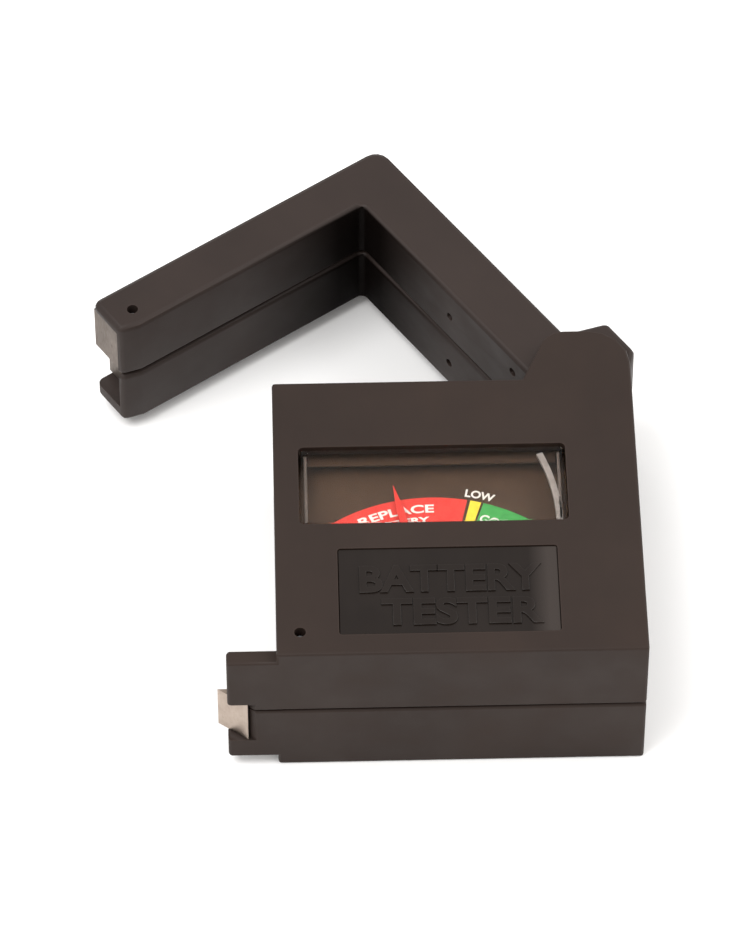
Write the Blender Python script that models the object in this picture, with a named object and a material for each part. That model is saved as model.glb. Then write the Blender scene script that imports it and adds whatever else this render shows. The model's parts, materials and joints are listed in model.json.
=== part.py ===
"""Pocket battery tester with a swinging L-shaped arm, lying on its back.

Each separate piece of the tester is one named object.  The origin is the
middle of the body's rear face, +X is the meter's right, +Y is the top of the
meter face and +Z comes out of the face.
"""

import math

import bmesh
import bpy
from mathutils import Vector

MM = 0.001  # the sizes below are in millimetres, meshes are made in metres

# Clearances
FIT = 0.3  # between neighbouring mouldings
SEAT = 0.15  # between a small part and what holds it

# Body
BODY_WIDTH = 46.5
BODY_HEIGHT = 44.6
BODY_DEPTH = 22.4
SIDE_WALL = 1.8
FACE_WALL = 1.6
SEAM_HEIGHT = 11.0
EDGE_ROUND = 0.35
LIP_HEIGHT = 1.2
LIP_THICKNESS = 0.8
BOSS_RADIUS = 2.7
SHELL_SCREW_INSET = 5.2
SCREW_HEAD = 1.8
SCREW_RADIUS = 0.75
SCREW_DROP = 5.6  # from the face down to the screw tips

# Foot ledge, left of the body's lower corner
FOOT_LENGTH = 6.3
FOOT_THICKNESS = 2.2
FOOT_RECESS = 1.7

# Hinge of the arm
HINGE_INSET = 9.4
HINGE_PIN_RADIUS = 1.8
LUG_HEIGHT = 8.1
LUG_LENGTH = 14.1
LUG_LEAN = 3.6
LUG_CORNER = 5.5
LUG_ROUND = 3.0
HINGE_RING = 0.8  # friction washer beyond the pin
POCKET_LENGTH = 13.5
POCKET_DEPTH = 7.2
STRIP_TAIL = 3.9  # hinge strip's reach into the body
STRIP_HALF = 1.2

# Arm
ARM_THICKNESS = 8.0
LEG_THICKNESS = 7.1
LEG_LENGTH = 46.7
ARM_WALL = 1.5
ARM_CORNER = 2.2
ARM_SOFT = 0.7
ARM_OPEN_DEG = 55.2
TIP_FACE = 6.3
TIP_CHAMFER = 2.8
EAR_RISE = 5.65
EAR_FLAT = 5.9
EAR_LEAN = 1.85
EAR_RELIEF = 5.3
HUB_SOLID = 7.5
HUB_EYELET = HINGE_PIN_RADIUS + 1.3
SNAP_REACH = 17.9
SNAP_RADIUS = 0.6
SNAP_DEPTH = 0.5
SNAP_RISE = 4.65
VENT_DROP = 3.0
VENT_REACH = 4.2
VENT_RADIUS = 0.65

# Contact strips
STRIP = 0.4
CONTACT_LOW = 5.2
CONTACT_HIGH = 12.2
STAKE_RADIUS = 0.6
STAKE_DROP = 1.2  # from the outer face down to the stake
STAKE_INSET = 3.0
STAKE_HEIGHT = 3.6
FOOT_CUT = 3.6
TIP_STEP = 2.2
TIP_PLATE_HIGH = 18.9
TIP_SIDE = 0.7
TIP_STAKE_INSET = 4.25
TIP_STAKE_HEIGHT = 3.5
TIP_SLOT_INSET = 2.65
TIP_SLOT_DEPTH = 11.2

# Window and name panel in the face, measured from the body's lower left corner
WINDOW_LEFT = 3.2
WINDOW_WIDTH = 34.2
WINDOW_LOW = 21.0
WINDOW_HEIGHT = 12.65
WINDOW_CORNER = 0.7
PANE = 0.9
FLANGE = 1.1
PANEL_LEFT = 7.9
PANEL_WIDTH = 27.8
PANEL_LOW = 3.1
PANEL_HEIGHT = 13.8
PANEL_RECESS = 0.7

# Meter movement, its axis measured from the body's lower left corner
METER_ACROSS = 20.05
METER_UP = 6.6
CORE_RADIUS = 2.1
CORE_RISE = 2.2  # from the chassis plate up to the core
CORE_DROP = 6.5  # from the pointer down to the core
AIR_GAP = 0.25
COIL_WIRE = 0.8
COIL_DEPTH = 1.6
YOKE_WALL = 1.2
STAFF_RADIUS = 0.35
JEWEL_RADIUS = 0.9
CHASSIS_LOW = 2.6
CHASSIS_PLATE = 1.2
PILLAR_REACH = 6.4
PILLAR_RADIUS = 1.1
BRIDGE_PLATE = 0.7
DIAL_DROP = 2.8  # from the inside of the face down to the dial
DIAL_PLATE = 0.4
DIAL_REACH = 6.4  # below the window
POINTER_LENGTH = 24.0
POINTER_TAPER = 4.0
POINTER_HALF = 0.5
POINTER_TAIL = 3.4
POINTER_PLATE = 0.25
POINTER_REST_DEG = 11.4

# Circuit board
BOARD_PLATE = 1.2
BOARD_LOW = 3.8
BOARD_LEFT = 9.0
BOARD_DROP = 1.5  # below the window
BOARD_WIDTH = 22.0
BOARD_HEIGHT = 14.0
WIRE_RADIUS = 0.45

# Places worked out from the sizes above
LEFT = -BODY_WIDTH / 2
RIGHT = BODY_WIDTH / 2
BOTTOM = -BODY_HEIGHT / 2
TOP = BODY_HEIGHT / 2
FACE_INSIDE = BODY_DEPTH - FACE_WALL
CAVITY_LEFT = LEFT + SIDE_WALL
CAVITY_RIGHT = RIGHT - SIDE_WALL
CAVITY_BOTTOM = BOTTOM + SIDE_WALL
CAVITY_TOP = TOP - SIDE_WALL
POCKET_LEFT = RIGHT - POCKET_LENGTH
POCKET_BOTTOM = TOP - POCKET_DEPTH
STRIP_END = POCKET_BOTTOM - SIDE_WALL - STRIP_TAIL
HINGE = (RIGHT - HINGE_INSET, TOP + FIT + ARM_THICKNESS / 2)
METER = (LEFT + METER_ACROSS, BOTTOM + METER_UP)
ARM_LOW = FACE_WALL + FIT
ARM_HIGH = FACE_INSIDE - 0.5
LEG_OUTSIDE = -(BODY_WIDTH - HINGE_INSET + FIT + LEG_THICKNESS)
LEG_INSIDE = LEG_OUTSIDE + LEG_THICKNESS
LEG_END = ARM_THICKNESS / 2 - LEG_LENGTH
STAKE = (LEFT + STAKE_INSET, BOTTOM + STAKE_HEIGHT)
TIP_BACK = LEG_END + SEAT + TIP_STEP
TIP_LEFT = LEG_OUTSIDE + SEAT
TIP_RIGHT = LEG_OUTSIDE + TIP_FACE - TIP_SIDE - SEAT
TIP_STAKE = (LEG_OUTSIDE + TIP_STAKE_INSET, LEG_END + TIP_STAKE_HEIGHT)
DIAL_FACE = FACE_INSIDE - DIAL_DROP
POINTER_LOW = DIAL_FACE + 0.5
BRIDGE_LOW = DIAL_FACE + 1.3
BRIDGE_HIGH = BRIDGE_LOW + BRIDGE_PLATE
CHASSIS_TOP = CHASSIS_LOW + CHASSIS_PLATE
CORE_LOW = CHASSIS_TOP + CORE_RISE
CORE_HIGH = POINTER_LOW - CORE_DROP
COIL_INSIDE = CORE_RADIUS + AIR_GAP
COIL_OUTSIDE = COIL_INSIDE + COIL_WIRE
COIL_LOW = CORE_LOW - 1.2
COIL_HIGH = CORE_HIGH + 1.8
YOKE_INSIDE = COIL_OUTSIDE + AIR_GAP
YOKE_OUTSIDE = YOKE_INSIDE + YOKE_WALL
SPRING_LOW = COIL_HIGH + 2.2
SCREW_PLACES = (
    (LEFT + SHELL_SCREW_INSET, TOP - SHELL_SCREW_INSET),
    (POCKET_LEFT - SHELL_SCREW_INSET, TOP - SHELL_SCREW_INSET),
    (LEFT + SHELL_SCREW_INSET, BOTTOM + 2 * SHELL_SCREW_INSET - 0.4),
    (RIGHT - SHELL_SCREW_INSET, BOTTOM + SHELL_SCREW_INSET),
)


# Tools

def clear_scene():
    for item in list(bpy.data.objects):
        bpy.data.objects.remove(item, do_unlink=True)


def make_material(name, colour, roughness, metallic=0.0, transmission=0.0):
    material = bpy.data.materials.new(name)
    material.use_nodes = True
    shader = material.node_tree.nodes["Principled BSDF"]
    shader.inputs["Base Color"].default_value = (*colour, 1.0)
    shader.inputs["Roughness"].default_value = roughness
    shader.inputs["Metallic"].default_value = metallic
    shader.inputs["Transmission Weight"].default_value = transmission
    return material


def add_object(name, data, material=None, parent=None):
    item = bpy.data.objects.new(name, data)
    bpy.context.scene.collection.objects.link(item)
    if material:
        data.materials.append(material)
    if parent:
        item.parent = parent
    return item


def add_pivot(name, place, turn_deg):
    pivot = bpy.data.objects.new(name, None)
    bpy.context.scene.collection.objects.link(pivot)
    pivot.location = (place[0] * MM, place[1] * MM, 0)
    pivot.rotation_euler[2] = math.radians(turn_deg)
    return pivot


def outline(*corners):
    """Closed outline from corners (x, y) or (x, y, radius of the rounding)."""
    points = []
    count = len(corners)
    for index, corner in enumerate(corners):
        here = Vector(corner[:2])
        radius = corner[2] if len(corner) > 2 else 0
        if not radius:
            points.append(tuple(here))
            continue
        to_last = (Vector(corners[index - 1][:2]) - here).normalized()
        to_next = (Vector(corners[(index + 1) % count][:2]) - here).normalized()
        half = to_last.angle(to_next) / 2
        start = here + to_last * radius / math.tan(half)
        middle = here + (to_last + to_next).normalized() * radius / math.sin(half)
        sweep = (start - middle).angle_signed(here + to_next * radius / math.tan(half) - middle)
        steps = max(2, round(abs(sweep) / math.radians(22.5)))
        for step in range(steps + 1):
            turn = -sweep * step / steps
            arm = start - middle
            points.append((
                middle.x + arm.x * math.cos(turn) - arm.y * math.sin(turn),
                middle.y + arm.x * math.sin(turn) + arm.y * math.cos(turn),
            ))
    return points


def box_outline(left, bottom, right, top, radius=0):
    return outline((left, bottom, radius), (right, bottom, radius), (right, top, radius), (left, top, radius))


def circle(middle, radius, sides=24):
    return [
        (middle[0] + radius * math.cos(2 * math.pi * step / sides),
         middle[1] + radius * math.sin(2 * math.pi * step / sides))
        for step in range(sides)
    ]


def prism(name, points, low, high, material=None, parent=None):
    """Solid of an outline in X and Y, from low to high along Z."""
    shape = bmesh.new()
    ring = [shape.verts.new((x * MM, y * MM, low * MM)) for x, y in points]
    base = shape.faces.new(ring)
    made = bmesh.ops.extrude_face_region(shape, geom=[base])["geom"]
    lifted = [vert for vert in made if isinstance(vert, bmesh.types.BMVert)]
    bmesh.ops.translate(shape, verts=lifted, vec=(0, 0, (high - low) * MM))
    bmesh.ops.recalc_face_normals(shape, faces=shape.faces)
    mesh = bpy.data.meshes.new(name)
    shape.to_mesh(mesh)
    shape.free()
    return add_object(name, mesh, material, parent)


def turned(name, middle, profile, material=None, parent=None, sides=24, ring=False):
    """Solid turned about a Z axis, from (radius, height) pairs; a ring has no ends on the axis."""
    shape = bmesh.new()
    hoops = []
    for radius, height in profile:
        if radius:
            hoops.append([
                shape.verts.new((x * MM, y * MM, height * MM))
                for x, y in circle(middle, radius, sides)
            ])
        else:
            hoops.append([shape.verts.new((middle[0] * MM, middle[1] * MM, height * MM))])
    pairs = list(zip(hoops, hoops[1:]))
    if ring:
        pairs.append((hoops[-1], hoops[0]))
    for first, second in pairs:
        for step in range(sides):
            after = (step + 1) % sides
            corners = {
                first[step % len(first)], first[after % len(first)],
                second[after % len(second)], second[step % len(second)],
            }
            if len(corners) == 4:
                shape.faces.new((first[step], first[after], second[after], second[step]))
            elif len(first) == 1:
                shape.faces.new((first[0], second[after], second[step]))
            else:
                shape.faces.new((first[step], first[after], second[0]))
    bmesh.ops.recalc_face_normals(shape, faces=shape.faces)
    mesh = bpy.data.meshes.new(name)
    shape.to_mesh(mesh)
    shape.free()
    item = add_object(name, mesh, material, parent)
    mesh.shade_smooth()
    mesh.set_sharp_from_angle(angle=math.radians(35))
    return item


def rod(name, middle, radius, low, high, material=None, parent=None, sides=24):
    return turned(name, middle, [(0, low), (radius, low), (radius, high), (0, high)], material, parent, sides)


def washer(name, middle, inner, outer, low, high, material=None, parent=None, sides=24):
    profile = [(inner, low), (outer, low), (outer, high), (inner, high)]
    return turned(name, middle, profile, material, parent, sides, ring=True)


def bent_strip(name, path, low, high, material, parent=None):
    """Sheet-metal strip that follows a path in X and Y, its width along Z."""
    points = [Vector(point) for point in path]
    one_side = []
    other_side = []
    for index, point in enumerate(points):
        before = points[max(index - 1, 0)]
        after = points[min(index + 1, len(points) - 1)]
        into = (point - before).normalized() if index else (after - point).normalized()
        out = (after - point).normalized() if index < len(points) - 1 else into
        across = Vector((-(into + out).y, (into + out).x)).normalized()
        reach = STRIP / 2 / max(0.3, across.dot(Vector((-into.y, into.x))))
        one_side.append(tuple(point + across * reach))
        other_side.append(tuple(point - across * reach))
    return prism(name, one_side + other_side[::-1], low, high, material, parent)


def arc(middle, radius, start_deg, end_deg, steps):
    return [
        (middle[0] + radius * math.cos(math.radians(start_deg + (end_deg - start_deg) * step / steps)),
         middle[1] + radius * math.sin(math.radians(start_deg + (end_deg - start_deg) * step / steps)))
        for step in range(steps + 1)
    ]


def wire(name, route, material, parent=None, radius=WIRE_RADIUS):
    """Round insulated lead along a smooth route through a few chosen points."""
    points = [Vector(point) for point in route]
    ends = [points[0] * 2 - points[1]] + points + [points[-1] * 2 - points[-2]]
    smooth = []
    for index in range(1, len(ends) - 2):
        a, b, c, d = ends[index - 1:index + 3]
        for step in range(4):
            t = step / 4
            smooth.append(0.5 * (2 * b + (c - a) * t + (2 * a - 5 * b + 4 * c - d) * t ** 2
                                 + (3 * b - a - 3 * c + d) * t ** 3))
    smooth.append(points[-1])
    curve = bpy.data.curves.new(name, "CURVE")
    curve.dimensions = "3D"
    curve.bevel_depth = radius * MM
    curve.bevel_resolution = 1
    curve.use_fill_caps = True
    spline = curve.splines.new("POLY")
    spline.points.add(len(smooth) - 1)
    for spot, place in zip(spline.points, smooth):
        spot.co = (*(place * MM), 1)
    return add_object(name, curve, material, parent)


def combine(target, tools, operation):
    """One exact Boolean of a solid with a group of tool solids."""
    group = bpy.data.collections.new(f"{target.name}_{operation.lower()}")
    bpy.context.scene.collection.children.link(group)
    for tool in tools:
        tool.parent = target.parent
        tool.hide_render = True
        tool.display_type = "WIRE"
        bpy.context.scene.collection.objects.unlink(tool)
        group.objects.link(tool)
    modifier = target.modifiers.new(group.name, "BOOLEAN")
    modifier.operation = operation
    modifier.solver = "EXACT"
    modifier.operand_type = "COLLECTION"
    modifier.collection = group


def add_to(target, *tools):
    combine(target, tools, "UNION")


def cut_from(target, *tools):
    combine(target, tools, "DIFFERENCE")


def soften(item, width, segments=2):
    modifier = item.modifiers.new("edges", "BEVEL")
    modifier.width = width * MM
    modifier.segments = segments
    modifier.limit_method = "ANGLE"
    modifier.angle_limit = math.radians(40)
    return item


# Outlines shared by both shells

def body_outline():
    return outline(
        (LEFT, BOTTOM), (RIGHT, BOTTOM),
        (RIGHT, TOP + LUG_HEIGHT, LUG_CORNER),
        (RIGHT - LUG_LENGTH + LUG_LEAN, TOP + LUG_HEIGHT, LUG_ROUND),
        (RIGHT - LUG_LENGTH, TOP),
        (LEFT, TOP),
    )


def cavity_outline(grow=0.0):
    return outline(
        (CAVITY_LEFT - grow, CAVITY_BOTTOM - grow),
        (CAVITY_RIGHT + grow, CAVITY_BOTTOM - grow),
        (CAVITY_RIGHT + grow, POCKET_BOTTOM - SIDE_WALL + grow),
        (POCKET_LEFT - SIDE_WALL + grow, POCKET_BOTTOM - SIDE_WALL + grow),
        (POCKET_LEFT - SIDE_WALL + grow, CAVITY_TOP + grow),
        (CAVITY_LEFT - grow, CAVITY_TOP + grow),
    )


def pocket_outline():
    reach = LUG_HEIGHT + 2
    return outline(
        (POCKET_LEFT, POCKET_BOTTOM, 1.5),
        (RIGHT + 2, POCKET_BOTTOM),
        (RIGHT + 2, TOP + reach),
        (RIGHT - LUG_LENGTH - 1, TOP + reach),
        (RIGHT - LUG_LENGTH - 1, TOP),
        (POCKET_LEFT, TOP),
    )


def foot_outline():
    return outline(
        (LEFT - FOOT_LENGTH, BOTTOM, 0.5), (LEFT + SIDE_WALL / 2, BOTTOM),
        (LEFT + SIDE_WALL / 2, BOTTOM + FOOT_THICKNESS), (LEFT - FOOT_LENGTH, BOTTOM + FOOT_THICKNESS, 0.5),
    )


def foot_corner_outline():
    """Slanting cut that the contact strip is folded over."""
    tip = LEFT - FOOT_LENGTH
    return outline(
        (tip - 1, BOTTOM - 1), (tip + FOOT_CUT, BOTTOM - 1), (tip + FOOT_CUT, BOTTOM),
        (tip + 0.5, BOTTOM + FOOT_THICKNESS), (tip + 0.5, BOTTOM + FOOT_THICKNESS + 1),
        (tip - 1, BOTTOM + FOOT_THICKNESS + 1),
    )


def contact_seats(name):
    """Cuts for the foot contact: the slanting corner and the slot through the wall."""
    low = CONTACT_LOW - SEAT
    high = CONTACT_HIGH + SEAT
    level = BOTTOM + FOOT_THICKNESS
    slot = box_outline(LEFT - 1, level, CAVITY_LEFT + 1, level + STRIP + 2 * SEAT)
    return [
        prism(f"{name}_corner_cut", foot_corner_outline(), low, high),
        prism(f"{name}_strip_slot", slot, low, high),
    ]


# Body shells

def make_rear_shell(plastic):
    top = SEAM_HEIGHT - FIT / 2
    shell = soften(prism("rear_shell", body_outline(), 0, top, plastic), EDGE_ROUND)
    add_to(shell, soften(prism("rear_foot", foot_outline(), FOOT_RECESS, top), 0.3))
    cut_from(shell, prism("rear_cavity", cavity_outline(), FACE_WALL, top + 1))
    lip = prism("rear_lip", cavity_outline(LIP_THICKNESS), top - 0.5, top + LIP_HEIGHT)
    cut_from(lip, prism("rear_lip_inside", cavity_outline(), top - 1, top + LIP_HEIGHT + 1))
    root = FACE_WALL / 2
    dial_post_top = DIAL_FACE - DIAL_PLATE - SEAT
    bosses = [lip, rod("rear_stake_post", STAKE, 1.1, root, CONTACT_LOW - 2 * SEAT, sides=16)]
    groove = box_outline(HINGE[0] - STRIP_HALF - FIT, STRIP_END - FIT, HINGE[0] + STRIP_HALF + FIT, HINGE[1])
    holes = [
        prism("rear_pocket", pocket_outline(), FACE_WALL, top + LIP_HEIGHT + 1),
        rod("rear_pin_bore", HINGE, HINGE_PIN_RADIUS + SEAT, root, FACE_WALL + 1),
        prism("rear_strip_groove", groove, FACE_WALL - 0.7, FACE_WALL + 0.1),
        rod("rear_eyelet_seat", HINGE, HINGE_PIN_RADIUS + HINGE_RING, FACE_WALL - 0.7, FACE_WALL + 0.1),
        rod("rear_stake_bore", STAKE, STAKE_RADIUS + SEAT, FACE_WALL + 0.6, CONTACT_LOW, sides=16),
        *contact_seats("rear"),
    ]
    for number, place in enumerate(SCREW_PLACES, 1):
        bosses.append(rod(f"rear_boss_{number}", place, BOSS_RADIUS, root, top, sides=16))
        holes.append(rod(f"rear_screw_seat_{number}", place, SCREW_HEAD + 0.25, -1, 2.4, sides=16))
        holes.append(rod(f"rear_screw_hole_{number}", place, SCREW_RADIUS + 0.35, 1, top + 1, sides=12))
    for number, place in enumerate(chassis_screw_places(), 1):
        bosses.append(rod(f"rear_chassis_boss_{number}", place, 1.8, root, CHASSIS_LOW - SEAT, sides=12))
        holes.append(rod(f"rear_chassis_bore_{number}", place, 0.8, root, CHASSIS_LOW, sides=12))
    for number, place in enumerate(dial_screw_places(), 1):
        bosses.append(rod(f"rear_dial_post_{number}", place, 1.6, root, dial_post_top, sides=12))
        holes.append(rod(f"rear_dial_bore_{number}", place, 0.7, dial_post_top - 4, DIAL_FACE, sides=12))
    for number, place in enumerate(board_post_places(), 1):
        peg = [(0, root), (1.5, root), (1.5, BOARD_LOW - SEAT), (0.7, BOARD_LOW - SEAT),
               (0.7, BOARD_LOW + BOARD_PLATE + 0.5), (0, BOARD_LOW + BOARD_PLATE + 0.5)]
        bosses.append(turned(f"rear_board_post_{number}", place, peg, sides=12))
    add_to(shell, *bosses)
    cut_from(shell, *holes)
    return shell


def make_front_shell(plastic):
    low = SEAM_HEIGHT + FIT / 2
    shell = soften(prism("front_shell", body_outline(), low, BODY_DEPTH, plastic), EDGE_ROUND)
    add_to(shell, soften(prism("front_foot", foot_outline(), low, BODY_DEPTH - FOOT_RECESS), 0.3))
    root = BODY_DEPTH - FACE_WALL / 2
    rebate_top = SEAM_HEIGHT - FIT / 2 + LIP_HEIGHT + FIT
    cut_from(
        shell,
        prism("front_cavity", cavity_outline(), low - 1, FACE_INSIDE),
        prism("front_rebate", cavity_outline(LIP_THICKNESS + SEAT), low - 1, rebate_top),
    )
    bosses = []
    holes = [
        prism("front_pocket", pocket_outline(), low - 1, FACE_INSIDE),
        rod("front_pin_bore", HINGE, HINGE_PIN_RADIUS + SEAT, FACE_INSIDE - 1, root),
        prism("front_window", box_outline(*window_box(0), WINDOW_CORNER), FACE_INSIDE - 1, BODY_DEPTH + 1),
        prism("front_panel_recess", box_outline(*panel_box(0), 0.4), BODY_DEPTH - PANEL_RECESS, BODY_DEPTH + 1),
        rod("front_stake_hole", STAKE, STAKE_RADIUS + SEAT, FACE_INSIDE - 2, BODY_DEPTH + 1, sides=16),
        *contact_seats("front"),
    ]
    for number, place in enumerate(SCREW_PLACES, 1):
        bosses.append(rod(f"front_boss_{number}", place, BOSS_RADIUS - 0.2, low, root, sides=16))
        holes.append(rod(f"front_pilot_{number}", place, SCREW_RADIUS + 0.2, low - 1,
                         BODY_DEPTH - SCREW_DROP + 1.1, sides=12))
    add_to(shell, *bosses)
    cut_from(shell, *holes)
    return shell


def window_box(inset):
    left = LEFT + WINDOW_LEFT + inset
    low = BOTTOM + WINDOW_LOW + inset
    return left, low, left + WINDOW_WIDTH - 2 * inset, low + WINDOW_HEIGHT - 2 * inset


def panel_box(inset):
    left = LEFT + PANEL_LEFT + inset
    low = BOTTOM + PANEL_LOW + inset
    return left, low, left + PANEL_WIDTH - 2 * inset, low + PANEL_HEIGHT - 2 * inset


def make_lens(clear):
    """Clear cap: a pane, its side walls in the window and a flange behind the face."""
    top = BODY_DEPTH - FIT
    low = FACE_INSIDE - SEAT - PANE
    lens = prism("meter_lens", box_outline(*window_box(-FLANGE), 0.8), low, FACE_INSIDE - SEAT, clear)
    block = prism("lens_block", box_outline(*window_box(SEAT), WINDOW_CORNER), low + 0.2, top)
    add_to(lens, soften(block, 0.2, 1))
    hollow = prism("lens_hollow", box_outline(*window_box(SEAT + PANE), WINDOW_CORNER), low - 1, top - PANE)
    cut_from(lens, hollow)
    return lens


def make_name_panel(plastic):
    low = BODY_DEPTH - PANEL_RECESS + SEAT / 2
    panel = prism("name_panel", box_outline(*panel_box(SEAT), 0.3), low, BODY_DEPTH - 0.15, plastic)
    return soften(panel, 0.12, 1)


def make_shell_screws(steel):
    for number, place in enumerate(SCREW_PLACES, 1):
        tip = BODY_DEPTH - SCREW_DROP
        profile = [
            (0, 0.7), (SCREW_HEAD - 0.3, 0.7), (SCREW_HEAD, 1.1), (SCREW_HEAD, 2.2), (SCREW_RADIUS, 2.2),
            (SCREW_RADIUS, tip - 1), (0, tip),
        ]
        screw = turned(f"shell_screw_{number}", place, profile, steel, sides=16)
        slot = box_outline(place[0] - 2, place[1] - 0.3, place[0] + 2, place[1] + 0.3)
        cut_from(screw, prism(f"screw_slot_{number}", slot, 0, 1.2))


# Foot contact and hinge

def make_foot_contact(nickel):
    """Strip that lies on the ledge, folds over its end and hooks round its stake inside."""
    tip = LEFT - FOOT_LENGTH
    level = BOTTOM + FOOT_THICKNESS + SEAT + STRIP / 2
    slope = Vector((0.5 - FOOT_CUT, FOOT_THICKNESS)).normalized()
    away = Vector((-slope.y, slope.x)) * (SEAT + STRIP / 2)
    start = Vector((tip + FOOT_CUT, BOTTOM)) + away + slope * 0.9
    bend = start + slope * ((level - start.y) / slope.y)
    hook = SEAT + STAKE_RADIUS + STRIP / 2
    lift = STAKE[1] - level
    path = [tuple(start), tuple(bend), (STAKE[0], level)]
    path += arc(STAKE, max(hook, lift), -90, 90, 6)[1:]
    bent_strip("foot_contact", path, CONTACT_LOW, CONTACT_HIGH, nickel)


def make_stake(name, place, low, high, steel, parent=None):
    tip = STAKE_RADIUS - 0.2
    profile = [(0, low), (STAKE_RADIUS, low), (STAKE_RADIUS, high - 0.2), (tip, high), (0, high)]
    return turned(name, place, profile, steel, parent, sides=16)


def make_hinge(steel, brass, nickel):
    low = FACE_WALL / 2 + SEAT
    high = FACE_INSIDE + FACE_WALL / 2 - SEAT
    round_off = HINGE_PIN_RADIUS - 0.3
    profile = [(0, low), (round_off, low), (HINGE_PIN_RADIUS, low + 0.3), (HINGE_PIN_RADIUS, high - 0.3),
               (round_off, high), (0, high)]
    turned("hinge_pin", HINGE, profile, steel)
    washer("friction_washer", HINGE, HINGE_PIN_RADIUS + SEAT, HINGE_PIN_RADIUS + HINGE_RING, ARM_HIGH - 0.3,
           FACE_INSIDE - SEAT, nickel)
    eyelet_low = FACE_WALL - 0.55
    eyelet_high = FACE_WALL - 0.15
    ring = circle(HINGE, HINGE_PIN_RADIUS + HINGE_RING - SEAT)
    strip = prism("hinge_strip", ring, eyelet_low, eyelet_high, brass)
    tail = box_outline(HINGE[0] - STRIP_HALF, STRIP_END, HINGE[0] + STRIP_HALF, HINGE[1])
    add_to(strip, prism("hinge_strip_tail", tail, eyelet_low, eyelet_high))
    cut_from(strip, rod("hinge_strip_hole", HINGE, HINGE_PIN_RADIUS + SEAT, 0, 3))


# Arm

def arm_outline():
    top = ARM_THICKNESS / 2
    shoulder = HINGE_INSET - EAR_RELIEF
    corner = math.degrees(math.asin(top / HINGE_INSET))
    return outline(
        (LEG_OUTSIDE, LEG_END, 1.0),
        (LEG_OUTSIDE + TIP_FACE, LEG_END),
        (LEG_INSIDE, LEG_END + TIP_CHAMFER),
        (LEG_INSIDE, -top, 0.8),
        *arc((0, 0), HINGE_INSET, -corner, 0, 3),
        (HINGE_INSET, top),
        (shoulder, top + EAR_RISE),
        (shoulder - EAR_FLAT, top + EAR_RISE),
        (shoulder - EAR_FLAT - EAR_LEAN, top),
        (LEG_OUTSIDE, top, ARM_CORNER),
    )


def arm_cavity_outline(grow=0.0):
    top = ARM_THICKNESS / 2 - ARM_WALL + grow
    outside = LEG_OUTSIDE + ARM_WALL - grow
    inside = LEG_INSIDE - ARM_WALL + grow
    tip = LEG_END + 2 * TIP_CHAMFER + 1.6 - grow
    hub = -HUB_SOLID + grow
    return outline((outside, tip), (inside, tip), (inside, -top), (hub, -top), (hub, top), (outside, top))


def arm_details(name):
    """Cuts that both halves share: hinge bore, eyelet seat, tip recess and contact slot."""
    low = SEAM_HEIGHT - 0.6
    high = SEAM_HEIGHT + 0.6
    recess = box_outline(LEG_OUTSIDE - 1, LEG_END - 1, TIP_RIGHT + SEAT, TIP_BACK + STRIP / 2 + SEAT)
    plate_seat = box_outline(LEG_OUTSIDE - 1, LEG_END - 1, TIP_RIGHT + SEAT, LEG_END + STRIP + 2 * SEAT)
    slot_left = LEG_OUTSIDE + TIP_SLOT_INSET - STRIP / 2 - SEAT
    slot = box_outline(slot_left, LEG_END, slot_left + STRIP + 2 * SEAT, LEG_END + TIP_SLOT_DEPTH)
    return [
        rod(f"{name}_bore", (0, 0), HINGE_PIN_RADIUS + 2 * SEAT, 0, BODY_DEPTH),
        rod(f"{name}_eyelet_seat", (0, 0), HUB_EYELET + FIT, low, high),
        prism(f"{name}_tab_channel", box_outline(-HUB_SOLID - 1, -1.1, 0, 1.1), low, high),
        prism(f"{name}_tip_recess", recess, CONTACT_LOW - 1, CONTACT_HIGH + SEAT),
        prism(f"{name}_plate_seat", plate_seat, CONTACT_HIGH - 1, TIP_PLATE_HIGH + SEAT),
        prism(f"{name}_strip_slot", slot, CONTACT_LOW - SEAT, CONTACT_HIGH + SEAT),
        rod(f"{name}_stake_bore", TIP_STAKE, STAKE_RADIUS + SEAT, ARM_LOW + 1.2, BODY_DEPTH, sides=16),
    ]


def arm_inner_hole(name, along, height, radius, depth):
    """Round hole bored square into the arm's inner wall."""
    hole = rod(name, (0, 0), radius, -1, depth, sides=16)
    hole.rotation_euler[0] = -math.pi / 2
    hole.location = (along * MM, -ARM_THICKNESS / 2 * MM, height * MM)
    return hole


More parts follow.
